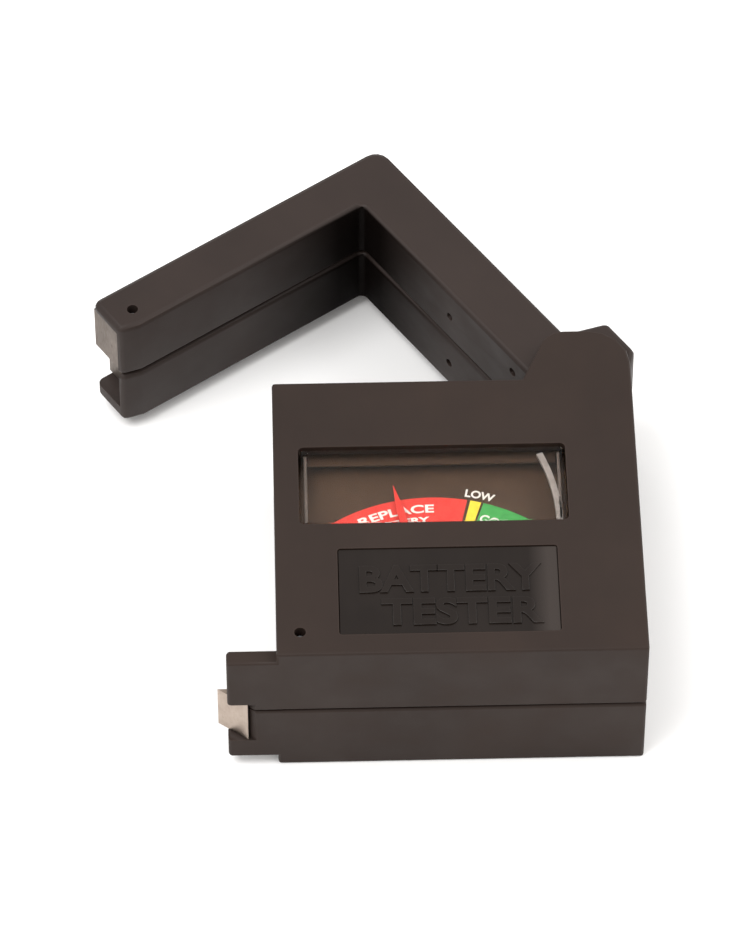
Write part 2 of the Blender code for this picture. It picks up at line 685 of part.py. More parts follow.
def make_arm(plastic, pivot):
    seam_low = SEAM_HEIGHT - FIT / 2
    seam_high = SEAM_HEIGHT + FIT / 2
    lip_thickness = ARM_WALL / 2
    rear = soften(prism("arm_rear_half", arm_outline(), ARM_LOW, seam_low, plastic, pivot), ARM_SOFT)
    cut_from(rear, prism("arm_rear_cavity", arm_cavity_outline(), ARM_LOW + ARM_WALL, seam_low + 1))
    lip_outline = arm_cavity_outline(lip_thickness)
    lip = prism("arm_lip", lip_outline, seam_low - 0.5, seam_low + LIP_HEIGHT, parent=pivot)
    cut_from(lip, prism("arm_lip_inside", arm_cavity_outline(), seam_low - 1, seam_low + LIP_HEIGHT + 1))
    add_to(rear, lip)
    snap_low = arm_inner_hole("arm_rear_snap", -SNAP_REACH, SEAM_HEIGHT - SNAP_RISE, SNAP_RADIUS, SNAP_DEPTH)
    cut_from(rear, *arm_details("arm_rear"), snap_low)

    front = soften(prism("arm_front_half", arm_outline(), seam_high, ARM_HIGH, plastic, pivot), ARM_SOFT)
    rebate = arm_cavity_outline(lip_thickness + SEAT)
    cut_from(
        front,
        prism("arm_front_cavity", arm_cavity_outline(), seam_high - 1, ARM_HIGH - ARM_WALL),
        prism("arm_rebate", rebate, seam_high - 1, seam_low + LIP_HEIGHT + SEAT),
        rod("arm_washer_seat", (0, 0), HINGE_PIN_RADIUS + HINGE_RING + SEAT, ARM_HIGH - 0.5, BODY_DEPTH),
        arm_inner_hole("arm_front_snap", -SNAP_REACH, SEAM_HEIGHT + SNAP_RISE, SNAP_RADIUS, SNAP_DEPTH),
        arm_inner_hole("arm_front_vent", -VENT_REACH, ARM_HIGH - VENT_DROP, VENT_RADIUS, ARM_WALL),
        *arm_details("arm_front"),
    )


def make_arm_contact(nickel, brass, steel, jacket, pivot):
    fold = LEG_OUTSIDE + TIP_SLOT_INSET
    inner_end = LEG_END + TIP_SLOT_DEPTH - 0.8
    face = LEG_END + SEAT + STRIP / 2
    step = CONTACT_HIGH - STRIP / 2
    path = [(face, TIP_PLATE_HIGH), (face, step), (TIP_BACK, step), (TIP_BACK, CONTACT_LOW)]
    contact = bent_strip("arm_contact", path, TIP_LEFT, TIP_RIGHT, nickel, pivot)
    contact.rotation_euler = (math.pi / 2, 0, math.pi / 2)
    tail = box_outline(fold - STRIP / 2, TIP_BACK, fold + STRIP / 2, inner_end)
    add_to(contact, prism("arm_contact_tail", tail, CONTACT_LOW + 0.6, CONTACT_HIGH - 1.2))
    make_stake("arm_stake", TIP_STAKE, ARM_LOW + 1.2 + SEAT, ARM_HIGH - STAKE_DROP, steel, pivot)
    low = SEAM_HEIGHT - STRIP / 2
    high = SEAM_HEIGHT + STRIP / 2
    eyelet = prism("hub_eyelet", circle((0, 0), HUB_EYELET), low, high, brass, pivot)
    add_to(eyelet, prism("hub_eyelet_tab", box_outline(-HUB_SOLID - 1.5, -0.8, 0, 0.8), low, high))
    cut_from(eyelet, rod("hub_eyelet_hole", (0, 0), HINGE_PIN_RADIUS + SEAT, low - 1, high + 1))
    middle_of_leg = (LEG_OUTSIDE + LEG_INSIDE) / 2
    level = (CONTACT_LOW + CONTACT_HIGH) / 2
    wire("arm_lead", [
        (middle_of_leg, inner_end + 0.4, level),
        (middle_of_leg + 0.3, inner_end + 8, level - 0.6),
        (middle_of_leg, -12, level + 0.4),
        (middle_of_leg + 1.2, -2.0, level + 0.8),
        (middle_of_leg + 6, 0, level + 0.8),
        (-HUB_SOLID - 12, -0.3, SEAM_HEIGHT - 1.6),
        (-HUB_SOLID - 2.4, 0, SEAM_HEIGHT - 0.3),
    ], jacket, pivot)


# Meter movement

def chassis_screw_places():
    return [(METER[0] + side * (PILLAR_REACH + 0.2), METER[1] + 5.0) for side in (-1, 1)]


def dial_screw_places():
    return [(LEFT + across, BOTTOM + WINDOW_LOW - 3.6) for across in (5.4, 34.8)]


def board_post_places():
    left, low, right, high = board_box()
    return [(left + 2, low + 2), (right - 2, high - 2)]


def board_box():
    left = LEFT + BOARD_LEFT
    low = BOTTOM + WINDOW_LOW - BOARD_DROP
    return left, low, left + BOARD_WIDTH, low + BOARD_HEIGHT


def make_chassis(moulding, brass, steel):
    side = PILLAR_REACH + PILLAR_RADIUS + 0.9
    plate = box_outline(METER[0] - side, CAVITY_BOTTOM + FIT, METER[0] + side, METER[1] + 6.9, 1.0)
    chassis = prism("meter_chassis", plate, CHASSIS_LOW, CHASSIS_TOP, moulding)
    collar_top = CORE_LOW - SEAT
    added = [rod("chassis_collar", METER, YOKE_OUTSIDE - 0.1, CHASSIS_TOP - 0.5, collar_top)]
    removed = [
        rod("chassis_well", METER, YOKE_INSIDE, CHASSIS_TOP - 0.1, collar_top + 1),
        rod("chassis_jewel_hole", METER, JEWEL_RADIUS + SEAT, CHASSIS_LOW - 1, CHASSIS_TOP + 1, sides=16),
    ]
    for number, place in enumerate(pillar_places(), 1):
        pillar_top = BRIDGE_LOW - 0.1
        added.append(rod(f"chassis_pillar_{number}", place, PILLAR_RADIUS, CHASSIS_TOP - 0.5, pillar_top, sides=16))
        removed.append(rod(f"chassis_thread_{number}", place, 0.6, BRIDGE_LOW - 3, BRIDGE_LOW + 1, sides=12))
    for number, place in enumerate(chassis_screw_places(), 1):
        removed.append(rod(f"chassis_hole_{number}", place, 0.85, CHASSIS_LOW - 1, CHASSIS_TOP + 1, sides=12))
        profile = [(0, 1.0), (0.6, 1.2), (0.6, CHASSIS_TOP + 0.1), (1.3, CHASSIS_TOP + 0.1),
                   (1.3, CHASSIS_TOP + 0.7), (0.9, CHASSIS_TOP + 1.0), (0, CHASSIS_TOP + 1.0)]
        turned(f"chassis_screw_{number}", place, profile, steel, sides=16)
    add_to(chassis, *added)
    cut_from(chassis, *removed)

    bridge_side = PILLAR_REACH + PILLAR_RADIUS
    bar = box_outline(METER[0] - bridge_side, METER[1] - 1.4, METER[0] + bridge_side, METER[1] + 1.4, 0.8)
    bridge = prism("front_bridge", bar, BRIDGE_LOW, BRIDGE_HIGH, brass)
    jewel_hole = JEWEL_RADIUS + SEAT / 2
    holes = [rod("bridge_jewel_hole", METER, jewel_hole, BRIDGE_LOW - 1, BRIDGE_HIGH + 1, sides=16)]
    for number, place in enumerate(pillar_places(), 1):
        holes.append(rod(f"bridge_hole_{number}", place, 0.65, BRIDGE_LOW - 1, BRIDGE_HIGH + 1, sides=12))
        top = BRIDGE_HIGH + 0.05
        profile = [
            (0, BRIDGE_LOW - 2.6), (0.5, BRIDGE_LOW - 2.3), (0.5, top), (0.95, top), (0.95, top + 0.3),
            (0.8, top + 0.4), (0, top + 0.4),
        ]
        turned(f"bridge_screw_{number}", place, profile, steel, sides=16)
    cut_from(bridge, *holes)


def pillar_places():
    return [(METER[0] + side * PILLAR_REACH, METER[1]) for side in (-1, 1)]


def make_magnet(iron, magnet, brass):
    washer("meter_yoke", METER, YOKE_INSIDE, YOKE_OUTSIDE, CORE_LOW, CORE_HIGH, iron)
    rod("core_magnet", METER, CORE_RADIUS, CORE_LOW, CORE_HIGH, magnet)
    reach = YOKE_OUTSIDE - 0.2
    bar = box_outline(METER[0] - 0.6, METER[1] - reach, METER[0] + 0.6, METER[1] + reach, 0.3)
    prism("core_bridge", bar, CORE_HIGH + 0.1, CORE_HIGH + 0.5, brass)


def make_jewels(brass):
    rear_top = CHASSIS_TOP - 0.2
    rear = [(0, CHASSIS_LOW - 0.5), (JEWEL_RADIUS, CHASSIS_LOW - 0.5), (JEWEL_RADIUS, rear_top),
            (0.45, rear_top), (0, rear_top - 0.35)]
    turned("rear_jewel_screw", METER, rear, brass, sides=16)
    front_low = BRIDGE_LOW + 0.15
    front_high = BRIDGE_HIGH + 0.4
    front = [(0, front_low + 0.35), (0.45, front_low), (JEWEL_RADIUS, front_low), (JEWEL_RADIUS, front_high),
             (0, front_high)]
    turned("front_jewel_screw", METER, front, brass, sides=16)


def spiral(name, low, high, inner, outer, turns, start_deg, metal):
    steps = int(turns * 14)
    path = []
    for step in range(steps + 1):
        angle = math.radians(start_deg) + 2 * math.pi * turns * step / steps
        radius = inner + (outer - inner) * step / steps
        path.append((METER[0] + radius * math.cos(angle), METER[1] + radius * math.sin(angle)))
    half = 0.06
    inside = []
    outside = []
    for x, y in path:
        away = Vector((x - METER[0], y - METER[1])).normalized() * half
        outside.append((x + away.x, y + away.y))
        inside.append((x - away.x, y - away.y))
    return prism(name, outside + inside[::-1], low, high, metal)


def make_moving_coil(copper, aluminium, steel, red, pivot):
    """Coil, its half staffs and the pointer; they turn together about the meter axis."""
    former_wall = 0.2
    frame = prism("coil_former", box_outline(-COIL_OUTSIDE + 0.45, -COIL_DEPTH / 2,
                                             COIL_OUTSIDE - 0.45, COIL_DEPTH / 2),
                  COIL_LOW + 0.45, COIL_HIGH - 0.45, aluminium, pivot)
    inside = COIL_OUTSIDE - 0.45 - former_wall
    opening = box_outline(-inside, -COIL_DEPTH, inside, COIL_DEPTH)
    cut_from(frame, prism("coil_former_opening", opening, COIL_LOW + 0.45 + former_wall,
                          COIL_HIGH - 0.45 - former_wall))
    winding = prism("coil_winding", box_outline(-COIL_OUTSIDE, -COIL_DEPTH / 2 + 0.15, COIL_OUTSIDE,
                                                COIL_DEPTH / 2 - 0.15), COIL_LOW, COIL_HIGH, copper, pivot)
    gap = COIL_OUTSIDE - 0.4
    slot = box_outline(-gap, -COIL_DEPTH, gap, COIL_DEPTH)
    cut_from(winding, prism("coil_winding_opening", slot, COIL_LOW + 0.4, COIL_HIGH - 0.4))
    staff_top = BRIDGE_LOW + 0.3
    front = [
        (0, COIL_HIGH + 0.1), (0.9, COIL_HIGH + 0.1), (0.9, COIL_HIGH + 0.5), (STAFF_RADIUS, COIL_HIGH + 0.5),
        (STAFF_RADIUS, staff_top - 0.7), (0, staff_top),
    ]
    turned("front_staff", (0, 0), front, steel, pivot, sides=12)
    staff_low = CHASSIS_TOP - 0.4
    rear = [
        (0, staff_low), (STAFF_RADIUS, staff_low + 0.5), (STAFF_RADIUS, COIL_LOW - 0.4), (0.9, COIL_LOW - 0.4),
        (0.9, COIL_LOW - 0.1), (0, COIL_LOW - 0.1),
    ]
    turned("rear_staff", (0, 0), rear, steel, pivot, sides=12)
    taper = POINTER_LENGTH - POINTER_TAPER
    blade = outline((-POINTER_HALF, taper), (-0.55, 1.0), (-0.3, -POINTER_TAIL), (0.3, -POINTER_TAIL),
                    (0.55, 1.0), (POINTER_HALF, taper), (0.0, POINTER_LENGTH))
    pointer = prism("pointer", blade, POINTER_LOW, POINTER_LOW + POINTER_PLATE, red, pivot)
    add_to(pointer, rod("pointer_hub", (0, 0), 0.95, POINTER_LOW - 0.15, POINTER_LOW + 0.45, sides=16))
    cut_from(pointer, rod("pointer_bore", (0, 0), STAFF_RADIUS + 0.08, 0, BODY_DEPTH, sides=12))
    weight_low = POINTER_LOW - 0.9
    washer_at = (0, -POINTER_TAIL + 0.8)
    rod("balance_weight", washer_at, 0.65, weight_low, POINTER_LOW - 0.1, steel, pivot, sides=12)


def make_dial(card, steel):
    left, _, right, _ = window_box(-FLANGE + SEAT)
    low = BOTTOM + WINDOW_LOW - DIAL_REACH
    top = DIAL_FACE
    pocket_left = POCKET_LEFT - SIDE_WALL - FIT
    pocket_low = POCKET_BOTTOM - SIDE_WALL - FIT
    boss_low = TOP - SHELL_SCREW_INSET - BOSS_RADIUS - FIT
    card_outline = outline(
        (left, low, 0.8), (right, low, 0.8), (right, pocket_low, 0.8),
        (pocket_left, pocket_low), (pocket_left, boss_low, 0.8), (left, boss_low, 0.8),
    )
    dial = prism("dial_plate", card_outline, top - DIAL_PLATE, top, card)
    holes = []
    for number, place in enumerate(dial_screw_places(), 1):
        holes.append(rod(f"dial_hole_{number}", place, 0.75, top - 2, top + 1, sides=12))
        profile = [(0, top - 3.2), (0.5, top - 2.9), (0.5, top + 0.05), (1.1, top + 0.05), (1.1, top + 0.5),
                   (0.8, top + 0.75), (0, top + 0.75)]
        turned(f"dial_screw_{number}", place, profile, steel, sides=16)
    cut_from(dial, *holes)


# Circuit

def resistor(name, left, up, level, length, radius, body_material):
    """Axial resistor along X, its two leads bent down to the board."""
    waist = radius * 0.85
    half = length / 2
    one_end = [(radius * 0.7, half), (radius, half - 0.5), (radius, half - 1.6), (waist, half - 2.1)]
    other_end = [(across, -along) for across, along in one_end]
    profile = [(0, -half), *other_end, *one_end[::-1], (0, half)]
    item = turned(name, (0, 0), profile, body_material, sides=16)
    item.rotation_euler[1] = math.pi / 2
    item.location = ((left + half + 2) * MM, up * MM, level * MM)
    floor = BOARD_LOW + BOARD_PLATE + SEAT
    leads = []
    for number, side in enumerate((-1, 1)):
        middle = left + half + 2
        foot = middle + side * (half + 1.4)
        near = middle + side * (half - 0.6)
        far = foot + side * 0.25
        lead = box_outline(min(near, far), up - 0.25, max(near, far), up + 0.25)
        leads.append(prism(f"{name}_lead_{number}", lead, level - 0.25, level + 0.25))
        post = box_outline(foot - 0.25, up - 0.25, foot + 0.25, up + 0.25)
        leads.append(prism(f"{name}_leg_{number}", post, floor, level))
    add_to(item, *leads)


def make_circuit(laminate, tan, blue, jacket_red, jacket_black):
    left, low, right, high = board_box()
    top = BOARD_LOW + BOARD_PLATE
    board = prism("circuit_board", box_outline(left, low, right, high, 0.5), BOARD_LOW, top, laminate)
    cut_from(board, *[
        rod(f"board_hole_{number}", place, 0.7 + SEAT, BOARD_LOW - 1, top + 1, sides=12)
        for number, place in enumerate(board_post_places(), 1)
    ])
    resistor("load_resistor", left + 4.0, high - 4.0, top + 2.4, 10.0, 1.7, tan)
    resistor("series_resistor", left + 6.0, low + 4.4, top + 1.9, 6.5, 1.15, blue)
    pad = top + SEAT + WIRE_RADIUS
    hook = STAKE[1] + SEAT + STAKE_RADIUS + 1.0
    wire("foot_lead", [
        (STAKE[0] + 0.6, hook + 0.4, 9.0),
        (STAKE[0] + 2.2, hook + 1.0, 10.0),
        (LEFT + 9.6, BOTTOM + 8.5, 10.0),
        (LEFT + 10.0, low - 3, 8.2),
        (left + 2.0, low + 4.2, pad),
    ], jacket_black)
    wire("hinge_lead", [
        (HINGE[0], STRIP_END + 0.7, FACE_WALL + SEAT + WIRE_RADIUS),
        (HINGE[0] + 0.4, STRIP_END - 2.1, FACE_WALL + 2.0),
        (right + 1.6, high - 5.0, BOARD_LOW + 2.6),
        (right - 1.2, high - 6.2, pad),
    ], jacket_red)
    chassis_edge = METER[1] + 5.6
    for name, side, jacket in (("meter_lead_1", -1, jacket_red), ("meter_lead_2", 1, jacket_black)):
        start = METER[0] + side * 1.6
        wire(name, [
            (start, chassis_edge, CHASSIS_TOP + SEAT + WIRE_RADIUS),
            (start + side * 0.8, chassis_edge + 3.0, CHASSIS_TOP + 1.6),
            (start + side * 0.6, low - 0.8, pad + 0.8),
            (start + side * 0.3, low + 1.4, pad),
        ], jacket)


def main():
    clear_scene()
    brown = make_material("brown_plastic", (0.045, 0.035, 0.030), 0.55)
    panel = make_material("panel_plastic", (0.035, 0.028, 0.025), 0.35)
    clear = make_material("clear_lens", (0.95, 0.95, 0.95), 0.05, transmission=1.0)
    steel = make_material("steel", (0.55, 0.55, 0.56), 0.35, 1.0)
    nickel = make_material("nickel", (0.72, 0.69, 0.62), 0.25, 1.0)
    brass = make_material("brass", (0.72, 0.53, 0.25), 0.3, 1.0)
    iron = make_material("iron", (0.30, 0.30, 0.31), 0.5, 1.0)
    magnet = make_material("magnet", (0.12, 0.12, 0.12), 0.6, 0.6)
    copper = make_material("copper", (0.60, 0.25, 0.12), 0.35, 1.0)
    aluminium = make_material("aluminium", (0.75, 0.75, 0.76), 0.35, 1.0)
    red = make_material("pointer_red", (0.60, 0.03, 0.03), 0.5)
    card = make_material("dial_card", (0.11, 0.075, 0.045), 0.6)
    moulding = make_material("black_moulding", (0.02, 0.02, 0.02), 0.5)
    laminate = make_material("laminate", (0.40, 0.24, 0.10), 0.6)
    tan = make_material("resistor_tan", (0.55, 0.42, 0.28), 0.5)
    blue = make_material("resistor_blue", (0.20, 0.35, 0.50), 0.5)
    jacket_red = make_material("lead_red", (0.45, 0.03, 0.03), 0.45)
    jacket_black = make_material("lead_black", (0.02, 0.02, 0.02), 0.45)

    arm_pivot = add_pivot("arm_pivot", HINGE, -ARM_OPEN_DEG)
    pointer_pivot = add_pivot("pointer_pivot", METER, POINTER_REST_DEG)

    make_rear_shell(brown)
    make_front_shell(brown)
    make_lens(clear)
    make_name_panel(panel)
    make_shell_screws(steel)
    make_foot_contact(nickel)
    make_stake("foot_stake", STAKE, FACE_WALL + 0.6 + SEAT, BODY_DEPTH - STAKE_DROP, steel)
    make_hinge(steel, brass, nickel)
    make_arm(brown, arm_pivot)
    make_arm_contact(nickel, brass, steel, jacket_red, arm_pivot)
    make_chassis(moulding, brass, steel)
    make_magnet(iron, magnet, brass)
    make_jewels(brass)
    spiral("front_hairspring", SPRING_LOW, SPRING_LOW + 0.4, 0.6, 2.9, 2.5, 200, brass)
    spiral("rear_hairspring", CHASSIS_TOP + 0.1, CHASSIS_TOP + 0.4, 0.6, 2.9, 2.5, 20, brass)
    make_moving_coil(copper, aluminium, steel, red, pointer_pivot)
    make_dial(card, steel)
    make_circuit(laminate, tan, blue, jacket_red, jacket_black)


main()
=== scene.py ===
import json
import math

import bpy
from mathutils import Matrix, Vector


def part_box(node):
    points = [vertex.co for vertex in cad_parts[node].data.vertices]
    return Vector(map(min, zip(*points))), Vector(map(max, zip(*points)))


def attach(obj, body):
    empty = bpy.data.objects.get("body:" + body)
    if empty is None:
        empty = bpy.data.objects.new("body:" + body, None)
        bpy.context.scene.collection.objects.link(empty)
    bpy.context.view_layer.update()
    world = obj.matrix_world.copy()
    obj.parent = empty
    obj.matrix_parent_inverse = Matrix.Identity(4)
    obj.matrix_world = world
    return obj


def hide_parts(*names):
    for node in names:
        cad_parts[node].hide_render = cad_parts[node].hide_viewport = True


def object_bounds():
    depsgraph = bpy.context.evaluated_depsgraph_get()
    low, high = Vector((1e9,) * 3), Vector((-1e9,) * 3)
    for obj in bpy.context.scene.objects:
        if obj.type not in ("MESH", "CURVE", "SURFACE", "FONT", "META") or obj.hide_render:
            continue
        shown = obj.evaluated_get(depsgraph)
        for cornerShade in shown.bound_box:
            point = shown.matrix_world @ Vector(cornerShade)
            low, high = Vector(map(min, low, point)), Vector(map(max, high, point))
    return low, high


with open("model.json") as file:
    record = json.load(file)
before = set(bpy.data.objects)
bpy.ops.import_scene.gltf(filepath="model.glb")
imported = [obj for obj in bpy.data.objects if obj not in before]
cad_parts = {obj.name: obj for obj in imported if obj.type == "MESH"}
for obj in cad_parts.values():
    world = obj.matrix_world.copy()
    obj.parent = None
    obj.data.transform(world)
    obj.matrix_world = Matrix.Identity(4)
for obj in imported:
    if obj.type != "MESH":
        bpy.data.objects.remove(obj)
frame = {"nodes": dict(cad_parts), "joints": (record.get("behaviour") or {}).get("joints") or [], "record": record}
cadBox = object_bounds()
nodes = frame["nodes"]
mm = 0.001


# Small helpers

def boxOf(name):
    low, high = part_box(name)
    return Vector(low), Vector(high)


def onlySelect(item):
    bpy.ops.object.select_all(action="DESELECT")
    item.select_set(True)
    bpy.context.view_layer.objects.active = item


def applyAll(item):
    onlySelect(item)
    for modifier in list(item.modifiers):
        bpy.ops.object.modifier_apply(modifier=modifier.name)


def settle(item):  # puts the object's place into its mesh
    onlySelect(item)
    bpy.ops.object.transform_apply(location=True, rotation=True, scale=True)


def smoothCopy(node, name, material, angle=32):  # welded, smooth-edged twin of a CAD node
    twin = nodes[node].copy()
    twin.data = nodes[node].data.copy()
    twin.parent = None
    for key in list(twin.keys()):
        del twin[key]
    twin.name = name
    twin.data.name = name
    bpy.context.scene.collection.objects.link(twin)
    onlySelect(twin)
    bpy.ops.object.mode_set(mode="EDIT")
    bpy.ops.mesh.select_all(action="SELECT")
    bpy.ops.mesh.remove_doubles(threshold=0.004 * mm)
    bpy.ops.mesh.dissolve_limited(angle_limit=math.radians(0.6))
    bpy.ops.object.mode_set(mode="OBJECT")
    bpy.ops.object.shade_smooth_by_angle(angle=math.radians(angle))
    weigh = twin.modifiers.new("flatFaces", "WEIGHTED_NORMAL")
    weigh.keep_sharp = True
    applyAll(twin)
    twin.data.materials.clear()
    twin.data.materials.append(material)
    return twin


def finishPiece(item, body, material=None, replaced=None):
    if material:
        item.data.materials.clear()
        item.data.materials.append(material)
    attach(item, body)
    if replaced:
        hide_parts(*replaced)
    return item


# Materials

class Finish:  # one node tree, built a step at a time
    def __init__(self, name, roughness, metallic=0.0, specular=0.5):
        self.material = bpy.data.materials.new(name)
        self.material.use_nodes = True
        self.tree = self.material.node_tree
        self.shader = self.tree.nodes["Principled BSDF"]
        self.shader.inputs["Roughness"].default_value = roughness
        self.shader.inputs["Metallic"].default_value = metallic
        self.shader.inputs["Specular IOR Level"].default_value = specular
        self.place = self.add("ShaderNodeTexCoord").outputs["Object"]

    def add(self, kind, **values):
        node = self.tree.nodes.new(kind)
        for key, value in values.items():
            setattr(node, key, value)
        return node

    def join(self, source, target):
        self.tree.links.new(source, target)

    def noise(self, scale, detail=3, roughness=0.6, stretch=(1, 1, 1)):
        mapping = self.add("ShaderNodeMapping")
        mapping.inputs["Scale"].default_value = stretch
        self.join(self.place, mapping.inputs["Vector"])
        node = self.add("ShaderNodeTexNoise")
        node.inputs["Scale"].default_value = scale
        node.inputs["Detail"].default_value = detail
        node.inputs["Roughness"].default_value = roughness
        self.join(mapping.outputs["Vector"], node.inputs["Vector"])
        return node.outputs["Fac"]

    def ramp(self, source, stops):
        node = self.add("ShaderNodeValToRGB")
        line = node.color_ramp
        while len(line.elements) < len(stops):
            line.elements.new(0.5)
        for element, (place, colour) in zip(line.elements, stops):
            element.position = place
            element.color = (*colour, 1) if len(colour) == 3 else colour
        self.join(source, node.inputs["Fac"])
        return node.outputs["Color"]

    def grey(self, source, low, high, start=0.3, end=0.7):
        node = self.add("ShaderNodeMapRange")
        node.inputs["From Min"].default_value = start
        node.inputs["From Max"].default_value = end
        node.inputs["To Min"].default_value = low
        node.inputs["To Max"].default_value = high
        self.join(source, node.inputs["Value"])
        return node.outputs["Result"]

    def mix(self, first, second, factor, blend="MIX"):
        node = self.add("ShaderNodeMix", data_type="RGBA", blend_type=blend)
        for socket, value in ((node.inputs[0], factor), (node.inputs[6], first), (node.inputs[7], second)):
            if hasattr(value, "links"):
                self.join(value, socket)
            elif isinstance(value, (int, float)):
                socket.default_value = value
            else:
                socket.default_value = (*value, 1)
        return node.outputs[2]

    def edges(self, radius, low=0.02, high=0.25):  # 0 on flats, 1 on worn edges
        bevel = self.add("ShaderNodeBevel", samples=6)
        bevel.inputs["Radius"].default_value = radius
        geometry = self.add("ShaderNodeNewGeometry")
        dot = self.add("ShaderNodeVectorMath", operation="DOT_PRODUCT")
        self.join(bevel.outputs["Normal"], dot.inputs[0])
        self.join(geometry.outputs["Normal"], dot.inputs[1])
        return self.grey(dot.outputs["Value"], 1, 0, 1 - high, 1 - low)

    def recessShadeMask(self, reach, start, end):  # painted shade mask: 0 deep in a corner, 1 in the open
        node = self.add("ShaderNodeAmbientOcclusion", samples=8)
        node.inputs["Distance"].default_value = reach
        return self.grey(node.outputs["AO"], 0, 1, start, end)

    def along(self, axis, source=None):
        split = self.add("ShaderNodeSeparateXYZ")
        self.join(source or self.place, split.inputs["Vector"])
        return split.outputs[axis]

    def sums(self, kind, *values):
        node = self.add("ShaderNodeMath", operation=kind)
        for socket, value in zip(node.inputs, values):
            if hasattr(value, "links"):
                self.join(value, socket)
            else:
                socket.default_value = value
        return node.outputs["Value"]

    def wallShadeMask(self, place, near, far):  # painted shade mask: 0 on upright walls beside an inner corner, 1 elsewhere
        across = self.sums("SUBTRACT", self.along("X"), place.x)
        up = self.sums("SUBTRACT", self.along("Y"), place.y)
        squares = self.sums("ADD", self.sums("POWER", across, 2.0), self.sums("POWER", up, 2.0))
        away = self.sums("SQRT", squares)
        clear = self.grey(away, 0, 1, near, far)
        facing = self.sums("ABSOLUTE", self.along("Z", self.add("ShaderNodeNewGeometry").outputs["Normal"]))
        return self.sums("MAXIMUM", clear, self.grey(facing, 0, 1, 0.4, 0.9))

    def bump(self, source, strength, distance, under=None):
        node = self.add("ShaderNodeBump")
        node.inputs["Strength"].default_value = strength
        node.inputs["Distance"].default_value = distance
        self.join(source, node.inputs["Height"])
        if under:
            self.join(under, node.inputs["Normal"])
        return node.outputs["Normal"]

    def colour(self, source):
        self.join(source, self.shader.inputs["Base Color"])

    def rough(self, source):
        self.join(source, self.shader.inputs["Roughness"])

    def normal(self, source):
        self.join(source, self.shader.inputs["Normal"])


def mouldedPlastic(name, dark, light, roughness, grainScale=2600, grainDepth=0.000012, wear=0.4, shine=0.26,
                   cornerShade=None, glareSpan=None):
    finish = Finish(name, roughness, specular=shine)
    cloud = finish.noise(38, 4, 0.62)
    base = finish.ramp(cloud, [(0.3, dark), (0.7, light)])
    smear = finish.noise(150, 3, 0.55, (1.0, 0.35, 1.0))
    smeared = finish.mix(base, [c * 1.25 for c in light], finish.grey(smear, 0, 0.35, 0.5, 0.8))
    wornGlareAndShade = finish.mix(smeared, [c * 1.9 + 0.01 for c in light],
                      finish.grey(finish.edges(0.35 * mm), 0, wear, 0, 1))
    if glareSpan:  # painted glare: lighter towards one end
        wornGlareAndShade = finish.mix(wornGlareAndShade, [c * 1.9 + 0.012 for c in light],
                          finish.grey(finish.along("X"), 0, 1, *glareSpan))
    # painted shade: upright walls near the arm's inner corner are darkened in colour and in specular
    if cornerShade:
        cornerShadeMask = finish.wallShadeMask(cornerShade["place"], cornerShade["near"], cornerShade["far"])
        wornGlareAndShade = finish.mix([c * cornerShade["shade"] for c in dark], wornGlareAndShade, cornerShadeMask)
        finish.join(finish.grey(cornerShadeMask, shine * cornerShade["shade"], shine, 0, 1),
                    finish.shader.inputs["Specular IOR Level"])
    finish.colour(wornGlareAndShade)
    finish.rough(finish.grey(smear, roughness - 0.07, roughness + 0.08))
    grain = finish.noise(grainScale, 2, 0.5)
    wave = finish.noise(120, 2, 0.5)
    finish.normal(finish.bump(grain, 0.35, grainDepth, finish.bump(wave, 0.25, 0.00008)))
    return finish.material


def platedMetal(name, dark, light, roughness, brushed=(1, 1, 1), scratch=900, depth=0.000006,
                recessShaded=False):
    finish = Finish(name, roughness, metallic=1.0)
    cloud = finish.noise(260, 4, 0.6)
    base = finish.ramp(cloud, [(0.32, dark), (0.68, light)])
    spots = finish.noise(1500, 2, 0.5)
    spotsAndShade = finish.mix(base, [c * 0.6 for c in dark], finish.grey(spots, 0, 0.4, 0.62, 0.75))
    if recessShaded:  # painted shade: dark where the metal goes into the moulding
        spotsAndShade = finish.mix((0.02, 0.016, 0.013), spotsAndShade, finish.recessShadeMask(7 * mm, 0.55, 0.85))
    finish.colour(spotsAndShade)
    lines = finish.noise(scratch, 5, 0.6, brushed)
    finish.rough(finish.grey(lines, roughness - 0.06, roughness + 0.12))
    finish.normal(finish.bump(lines, 0.3, depth))
    return finish.material


def lacquered(name, dark, light, roughness, scale=500, depth=0.00001):
    finish = Finish(name, roughness, specular=0.45)
    finish.colour(finish.ramp(finish.noise(scale, 4, 0.6), [(0.3, dark), (0.7, light)]))
    finish.rough(finish.grey(finish.noise(scale * 2, 3), roughness - 0.08, roughness + 0.08))
    finish.normal(finish.bump(finish.noise(scale * 3, 2), 0.3, depth))
    return finish.material


def jointAt(name):
    return Vector(next(joint for joint in frame["joints"] if joint["name"] == name)["pos_m"])


# painted shade round the arm's inner corner: its place, reach and darkness
innerCornerShade = {
    "place": jointAt("arm_swing") + Vector((-24.63, 28.43, 0)) * mm,
    "near": 4 * mm,
    "far": 20 * mm,
    "shade": 0.15,
}
casePlastic = mouldedPlastic("casePlastic", (0.0176, 0.0100, 0.0073), (0.0238, 0.0140, 0.0102), 0.56,
                             shine=0.22)
armPlastic = mouldedPlastic("armPlastic", (0.0180, 0.0108, 0.0086), (0.0246, 0.0154, 0.0124), 0.54,
                            cornerShade=innerCornerShade)
panelEnd = boxOf("name_panel")[1].x
